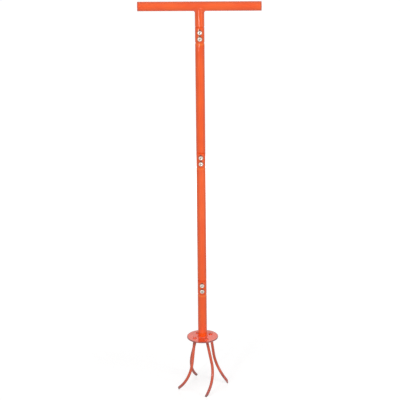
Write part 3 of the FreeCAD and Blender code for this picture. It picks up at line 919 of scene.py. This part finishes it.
@dataclass
class ButtonHeadScrew:
    """Button head screw with a hexagon socket and a cut thread.

    The screw's axis runs along +Y from the head to the end.
    """

    name: str
    # Height of the axis, and the place of the head's face along it.
    height: float
    face: float
    key_turn: float = 0.0
    diameter: float = 6.0 * MM
    length: float = 30.0 * MM
    head_diameter: float = 10.5 * MM
    head_height: float = 3.3 * MM
    head_rim: float = 0.8 * MM
    head_flat: float = 5.6 * MM
    rim_round: float = 0.25 * MM
    key_flats: float = 4.0 * MM
    key_depth: float = 2.0 * MM
    # The drill before the key's broach leaves a cone, over this share of the flats.
    key_cone: float = 0.5 * MM
    key_cone_share: float = 0.8
    key_chamfer: float = 0.2 * MM
    thread_pitch: float = 1.0 * MM
    thread_depth: float = 0.5 * MM
    thread_length: float = 22.0 * MM
    # Pitches over which the thread deepens at its start and runs out at its end.
    run_in_pitches: float = 2.0
    run_out_pitches: float = 1.0
    end_chamfer: float = 0.8 * MM
    dome_steps: int = 12
    steps_per_pitch: int = 8
    columns: int = 72
    sharp_degrees: float = 35.0

    def profile(self) -> np.ndarray:
        """Rows of the surface from the bottom of the socket to the end of the thread.

        The dome is a quarter of an ellipse, from the flat in the middle to the rim.

        Returns:
            Radius, depth along the axis from the seat, share of hexagon and depth of thread.
        """
        half_flat = self.head_flat / 2
        half_head = self.head_diameter / 2
        half_key = self.key_flats / 2
        half = self.diameter / 2
        top = -self.head_height
        floor = top + self.key_depth
        mouth = half_key / math.cos(FULL_TURN / 12) + self.key_chamfer
        # Socket: cone left by the drill, flat floor, six walls and a turned mouth.
        socket = [(0.0, floor + self.key_cone, 0.0, 0.0),
                  (half_key * self.key_cone_share, floor, 0.0, 0.0),
                  (half_key, floor, 1.0, 0.0), (half_key, top + self.key_chamfer, 1.0, 0.0),
                  (mouth, top, 0.0, 0.0)]
        lean = np.linspace(0.0, RIGHT_ANGLE, self.dome_steps)
        dome = np.column_stack([half_flat + (half_head - half_flat) * np.sin(lean),
                                -self.head_rim + (top + self.head_rim) * np.cos(lean),
                                0.0 * lean, 0.0 * lean])
        under = [(half_head, -self.rim_round, 0.0, 0.0),
                 (half_head - self.rim_round, 0.0, 0.0, 0.0), (half, 0.0, 0.0, 0.0)]
        start = self.length - self.thread_length
        stop = self.length - self.end_chamfer
        steps = round((stop - start) / self.thread_pitch * self.steps_per_pitch)
        along = np.linspace(start, stop, steps + 1)
        run_in = np.clip((along - start) / (self.run_in_pitches * self.thread_pitch), 0.0, 1.0)
        run_out = np.clip((stop - along) / (self.run_out_pitches * self.thread_pitch), 0.0, 1.0)
        thread = np.column_stack([np.full_like(along, half), along, 0.0 * along,
                                  self.thread_depth * run_in * run_out])
        end = [(half - self.end_chamfer, self.length, 0.0, 0.0), (0.0, self.length, 0.0, 0.0)]
        return np.vstack([socket, dome, under, thread, end])

    def points(self) -> np.ndarray:
        """Grid of the screw's surface.

        Rows follow the profile and columns go round the axis. In the socket the radius is that of
        a hexagon. Along the thread the radius is less by the thread's depth times a triangle
        wave, whose phase grows with the depth along the axis and falls with the angle.

        Returns:
            The places.
        """
        radius, depth, hexagon, cut = self.profile().T[..., None]
        angle = np.linspace(0.0, FULL_TURN, self.columns + 1)[None, :]
        six = hexagon_radius(angle, self.key_flats / 2)
        reach = (1.0 - hexagon) * radius + hexagon * six
        phase = depth / self.thread_pitch - angle / FULL_TURN
        wave = 2.0 * np.abs(phase - np.round(phase))
        reach = reach - cut * wave
        x = reach * np.sin(angle + self.key_turn)
        y = self.face + self.head_height + depth + 0.0 * angle
        z = self.height + reach * np.cos(angle + self.key_turn)
        return np.stack([x, y, z], axis=2)


@dataclass
class LockNut:
    """Chamfered hexagon nut with a crimped collar. Its axis runs along +Y from its seat."""

    name: str
    # Height of the axis, and the place of the seat along it.
    height: float
    seat: float
    turn: float = 0.0
    flats: float = 10.0 * MM
    hexagon_height: float = 4.4 * MM
    total_height: float = 6.0 * MM
    collar_diameter: float = 8.6 * MM
    bore_diameter: float = 6.1 * MM
    ring_diameter: float = 7.6 * MM
    ring_depth: float = 1.5 * MM
    # Depth of the groove's mouth below the collar's top.
    ring_mouth: float = 0.1 * MM
    chamfer_diameter: float = 9.7 * MM
    chamfer_slope_degrees: float = 30.0
    seat_chamfer: float = 0.4 * MM
    crimp: float = 0.35 * MM
    crimp_steps: int = 6
    side_steps: int = 14
    columns: int = 96
    sharp_degrees: float = 25.0

    def points(self) -> np.ndarray:
        """Grid of the nut's surface.

        Rows follow a closed profile: out along the seat, up the six sides, in over the collar,
        down the bore and back. On the sides the radius is that of a hexagon, but no more than
        the two cones that chamfer its corners. The crimp is a quarter round.

        Returns:
            The places.
        """
        chamfer = self.chamfer_diameter / 2
        collar = self.collar_diameter / 2
        bore = self.bore_diameter / 2
        ring = self.ring_diameter / 2
        slope = math.tan(math.radians(self.chamfer_slope_degrees))
        side = np.linspace(0.0, self.hexagon_height, self.side_steps)
        limit = chamfer + np.minimum(side, self.hexagon_height - side) / slope
        lean = np.linspace(0.0, RIGHT_ANGLE, self.crimp_steps)
        top = self.total_height
        crimp = np.column_stack([collar - self.crimp * (1.0 - np.cos(lean)),
                                 top - self.crimp * (1.0 - np.sin(lean))])
        seat = (bore + self.seat_chamfer, 0.0)
        lead = np.array([seat, (chamfer, 0.0)])
        tail = np.vstack([[(chamfer, self.hexagon_height), (collar, self.hexagon_height)], crimp,
                          [(ring, top - self.ring_mouth), (ring, top - self.ring_depth),
                           (bore, top - self.ring_depth), (bore, self.seat_chamfer), seat]])
        angle = np.linspace(0.0, FULL_TURN, self.columns + 1)[None, :]
        sides = np.minimum(hexagon_radius(angle, self.flats / 2), limit[:, None])
        whole = np.ones_like(angle)
        reach = np.vstack([lead[:, :1] * whole, sides, tail[:, :1] * whole])
        depth = np.concatenate([lead[:, 1], side, tail[:, 1]])[:, None] * whole
        x = reach * np.sin(angle + self.turn)
        z = self.height + reach * np.cos(angle + self.turn)
        return np.stack([x, self.seat + depth, z], axis=2)


# Sub-assemblies

@dataclass
class Handle:
    """Crossbar, its end caps, the stem and the weld between them."""

    paint: bpy.types.Material

    def build(self) -> None:
        """Dress the tubes and lay the weld."""
        for node in ("handle_crossbar", "handle_end_cap_left", "handle_end_cap_right",
                     "handle_stem"):
            dress_node(node, self.paint)
        seat_piece(SaddleBead("handle_weld", middle("handle_crossbar")[2]), Slot.PAINT,
                   self.paint, "handle_weld_bead")


@dataclass
class Shaft:
    """Three tube sections, bolted together at three seams."""

    paint: bpy.types.Material
    zinc: bpy.types.Material
    nylon: bpy.types.Material
    # Each key was left at an angle of its own, a golden section of a turn from the last, and each
    # nut at a share of that angle.
    turn_step: float = FULL_TURN * 0.381966
    nut_turn_share: float = 0.5

    def build(self) -> None:
        """Dress the tubes and fit the fasteners."""
        for node in ("upper_shaft_tube", "lower_shaft_tube", "head_tube"):
            dress_node(node, self.paint)
        for number, (seam, row) in enumerate(product(Seam, Row)):
            self.build_fastener(seam, row, self.turn_step * number)

    def build_fastener(self, seam: Seam, row: Row, turn: float) -> None:
        """Fit one screw with its nut and ring.

        Args:
            seam: The joint.
            row: Upper or lower.
            turn: Angle at which its key was left.
        """
        screw, nut = fastener(seam, "screw", row), fastener(seam, "nut", row)
        height = middle(screw)[2]
        seat_piece(ButtonHeadScrew(fastener(seam, "button_screw", row), height,
                                   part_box(screw)[0].y, turn),
                   Slot.ZINC, self.zinc, screw)
        seat_piece(LockNut(fastener(seam, "lock_nut", row), height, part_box(nut)[0].y,
                           turn * self.nut_turn_share), Slot.ZINC, self.zinc, nut)
        dress_node(fastener(seam, "nut_ring", row), self.nylon)


@dataclass
class Claw:
    """Plate with its four tines, and the welds that hold them."""

    weld_paint: bpy.types.Material
    plate_paint: bpy.types.Material
    tine_paint: bpy.types.Material
    plate_leg: float = 2.0 * MM
    tine_radius: float = 3.5 * MM
    tine_leg: float = 1.8 * MM
    tine_lap: float = math.radians(62.0)
    tine_lean: float = math.radians(14.3)
    tine_ripple: float = 1.2 * MM
    # Direction in which each tine's foot leans, against the direction of its root.
    lean_heading: float = math.radians(28.8)

    def build(self) -> None:
        """Dress the plate and the tines and lay the welds."""
        dress_node("tine_plate", self.plate_paint)
        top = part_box("tine_plate")[1].z
        seat_piece(RingBead("plate_weld", (0.0, 0.0, top), TUBE_RADIUS, self.plate_leg),
                   Slot.PAINT, self.weld_paint, "plate_weld_bead")
        for side in Side:
            dress_node("tine_" + side.value, self.tine_paint)
            self.build_weld(side)

    def build_weld(self, side: Side) -> None:
        """Lay the weld round the end of one tine that stands up through the plate.

        Args:
            side: Which tine.
        """
        node = "tine_weld_" + side.value
        across, deep, _ = middle(node)
        heading = math.atan2(deep, across) + self.lean_heading
        bead = RingBead("tine_bead_" + side.value, (across, deep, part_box(node)[0].z),
                        self.tine_radius, self.tine_leg, lean=self.tine_lean, heading=heading,
                        lap=self.tine_lap, ripple_pitch=self.tine_ripple)
        seat_piece(bead, Slot.PAINT, self.weld_paint, node)


# Studio

@dataclass(frozen=True)
class Softbox:
    """Upright diffuse lamp that faces the tool."""

    name: str
    # Direction from the tool, to the right of the front.
    azimuth_degrees: float
    middle_height: float
    width: float
    height: float
    radiance: float
    aim_height: float
    distance: float = 2.1
    # Whether the lamp shows in glossy surfaces.
    reflected: bool = False

    def build(self) -> None:
        """Put the lamp in place. Its power is its radiance times its area times pi."""
        lamp = bpy.data.lights.new(self.name, "AREA")
        lamp.shape = "RECTANGLE"
        lamp.size = self.width
        lamp.size_y = self.height
        lamp.energy = self.radiance * math.pi * self.width * self.height
        azimuth = math.radians(self.azimuth_degrees)
        place = Vector((self.distance * math.sin(azimuth), -self.distance * math.cos(azimuth),
                        self.middle_height))
        aim = Vector((0.0, 0.0, self.aim_height)) - place
        holder = stand(self.name, lamp)
        holder.location = place
        holder.rotation_euler = aim.to_track_quat("-Z", "Y").to_euler()
        holder.visible_camera = False
        holder.visible_glossy = self.reflected


@dataclass
class Studio:
    """Camera, floor, surroundings and lamps."""

    # The camera stands in front of the shaft and looks down at it. It is turned a little to the
    # right of the shaft, and the picture is cropped so that the tool is in the middle again.
    lens_mm: float = 115.2
    sensor_mm: float = 36.0
    camera_distance: float = 2.924
    camera_height: float = 1.4176
    pitch_degrees: float = 17.6
    yaw_degrees: float = 1.8
    # Width of the picture, and where the shaft's top shows against its middle, in pixels.
    picture_pixels: float = 400.0
    shaft_offset_pixels: float = -0.6
    floor_half_width: float = 8.0
    floor_colour: Colour = (0.36, 0.36, 0.36, 1.0)
    # The lamps light the floor less away from the tool, and its glow makes up for that.
    near_glow: float = 0.742
    far_glow: float = 0.98
    near_distance: float = 0.3
    far_distance: float = 2.0
    # Parts of the floor's and the surroundings' glow that reflections show.
    floor_gloss: float = 0.76
    surroundings_gloss: float = 1.0
    # Light from all round, and the white that shows behind the tool.
    surroundings: float = 0.15
    backdrop: float = 1.0
    white: Colour = (1.0, 1.0, 1.0, 1.0)
    # Broad boxes light the tool, and two narrow strips put the sharp streaks on its gloss.
    lamps: tuple[Softbox, ...] = (
        Softbox("left_softbox", -34.0, middle_height=0.68, width=0.4, height=1.2, radiance=6.6,
                aim_height=0.45),
        Softbox("right_softbox", 46.0, middle_height=0.68, width=0.9, height=1.2, radiance=3.2,
                aim_height=0.45),
        Softbox("top_softbox", 0.0, middle_height=3.4, width=2.4, height=1.8, radiance=2.7,
                aim_height=0.4, distance=1.1),
        Softbox("left_strip", -23.0, middle_height=0.7, width=0.08, height=0.5, radiance=84.0,
                aim_height=0.7, reflected=True),
        Softbox("right_strip", 55.0, middle_height=0.85, width=0.08, height=0.5, radiance=60.0,
                aim_height=0.7, reflected=True),
        Softbox("back_softbox", 180.0, middle_height=0.75, width=1.2, height=1.25, radiance=5.0,
                aim_height=0.5))

    def build(self) -> None:
        """Build the whole studio."""
        self.build_camera()
        self.build_floor()
        self.build_surroundings()
        for lamp in self.lamps:
            lamp.build()
        bpy.context.scene.view_settings.view_transform = "Standard"

    def build_camera(self) -> None:
        """Place the camera, turned right by the yaw, with the crop that brings the tool back."""
        camera = bpy.data.cameras.new("camera")
        camera.lens = self.lens_mm
        camera.sensor_width = self.sensor_mm
        focal_pixels = self.lens_mm / self.sensor_mm * self.picture_pixels
        yaw = math.radians(self.yaw_degrees)
        pitch = math.radians(self.pitch_degrees)
        # Where the top of the shaft shows against the middle of an uncropped picture.
        drop = self.camera_height - CAD_BOX[1][2]
        ahead = self.camera_distance * math.cos(yaw) * math.cos(pitch) + drop * math.sin(pitch)
        seen = -focal_pixels * self.camera_distance * math.sin(yaw) / ahead
        camera.shift_x = (seen - self.shaft_offset_pixels) / self.picture_pixels
        camera.dof.use_dof = False
        holder = stand("camera", camera)
        holder.location = (0.0, -self.camera_distance, self.camera_height)
        holder.rotation_euler = Euler((RIGHT_ANGLE - pitch, 0.0, -yaw))
        bpy.context.scene.camera = holder

    def build_floor(self) -> None:
        """Lay a white floor that keeps the tool's shadow.

        To the camera and in reflections the floor glows a little besides what it reflects, so it
        reads as white where nothing shades it.
        """
        half = self.floor_half_width
        corners = [(-half, -half, 0.0), (half, -half, 0.0), (half, half, 0.0), (-half, half, 0.0)]
        mesh = bpy.data.meshes.new("studio_floor")
        mesh.from_pydata(corners, [], [(0, 1, 2, 3)])
        floor = stand("studio_floor", mesh)
        material = bpy.data.materials.new("floor_white")
        recipe = Recipe(material)
        strength = recipe.spread(recipe.distance((0.0, 0.0, 0.0)), self.near_distance,
                                 self.far_distance, self.near_glow, self.far_glow, "LINEAR")
        matt = recipe.add("BsdfDiffuse", {"Color": self.floor_colour}).outputs[0]
        glow = recipe.add("Emission", {"Strength": strength}).outputs[0]
        both = recipe.add("AddShader", {0: matt, 1: glow}).outputs[0]
        recipe.finish(recipe.choose(recipe.seen_directly(self.floor_gloss), matt, both))
        mesh.materials.append(material)

    def build_surroundings(self) -> None:
        """Light the tool evenly from all round, with white behind it and in its reflections."""
        world = bpy.data.worlds.new("studio")
        recipe = Recipe(world)
        fill, backdrop = (
            recipe.add("Background", {"Color": self.white, "Strength": strength}).outputs[0]
            for strength in (self.surroundings, self.backdrop))
        seen = recipe.seen_directly(self.surroundings_gloss)
        recipe.finish(recipe.choose(seen, fill, backdrop), "OutputWorld")
        bpy.context.scene.world = world


def main() -> None:
    """Build the studio and dress the tool, from the handle down to the claw."""
    logging.basicConfig(level=logging.INFO, format="%(message)s")
    Studio().build()
    paint = PowderCoat(marks=shaft_marks()).build()
    zinc = ZincPlate(marks=screw_marks()).build()
    Handle(paint).build()
    Shaft(paint, zinc, Nylon().build()).build()
    Claw(WeldCoat().build(), PlateCoat().build(), TineCoat(marks=tine_marks()).build()).build()


if __name__ == "__main__":
    main()
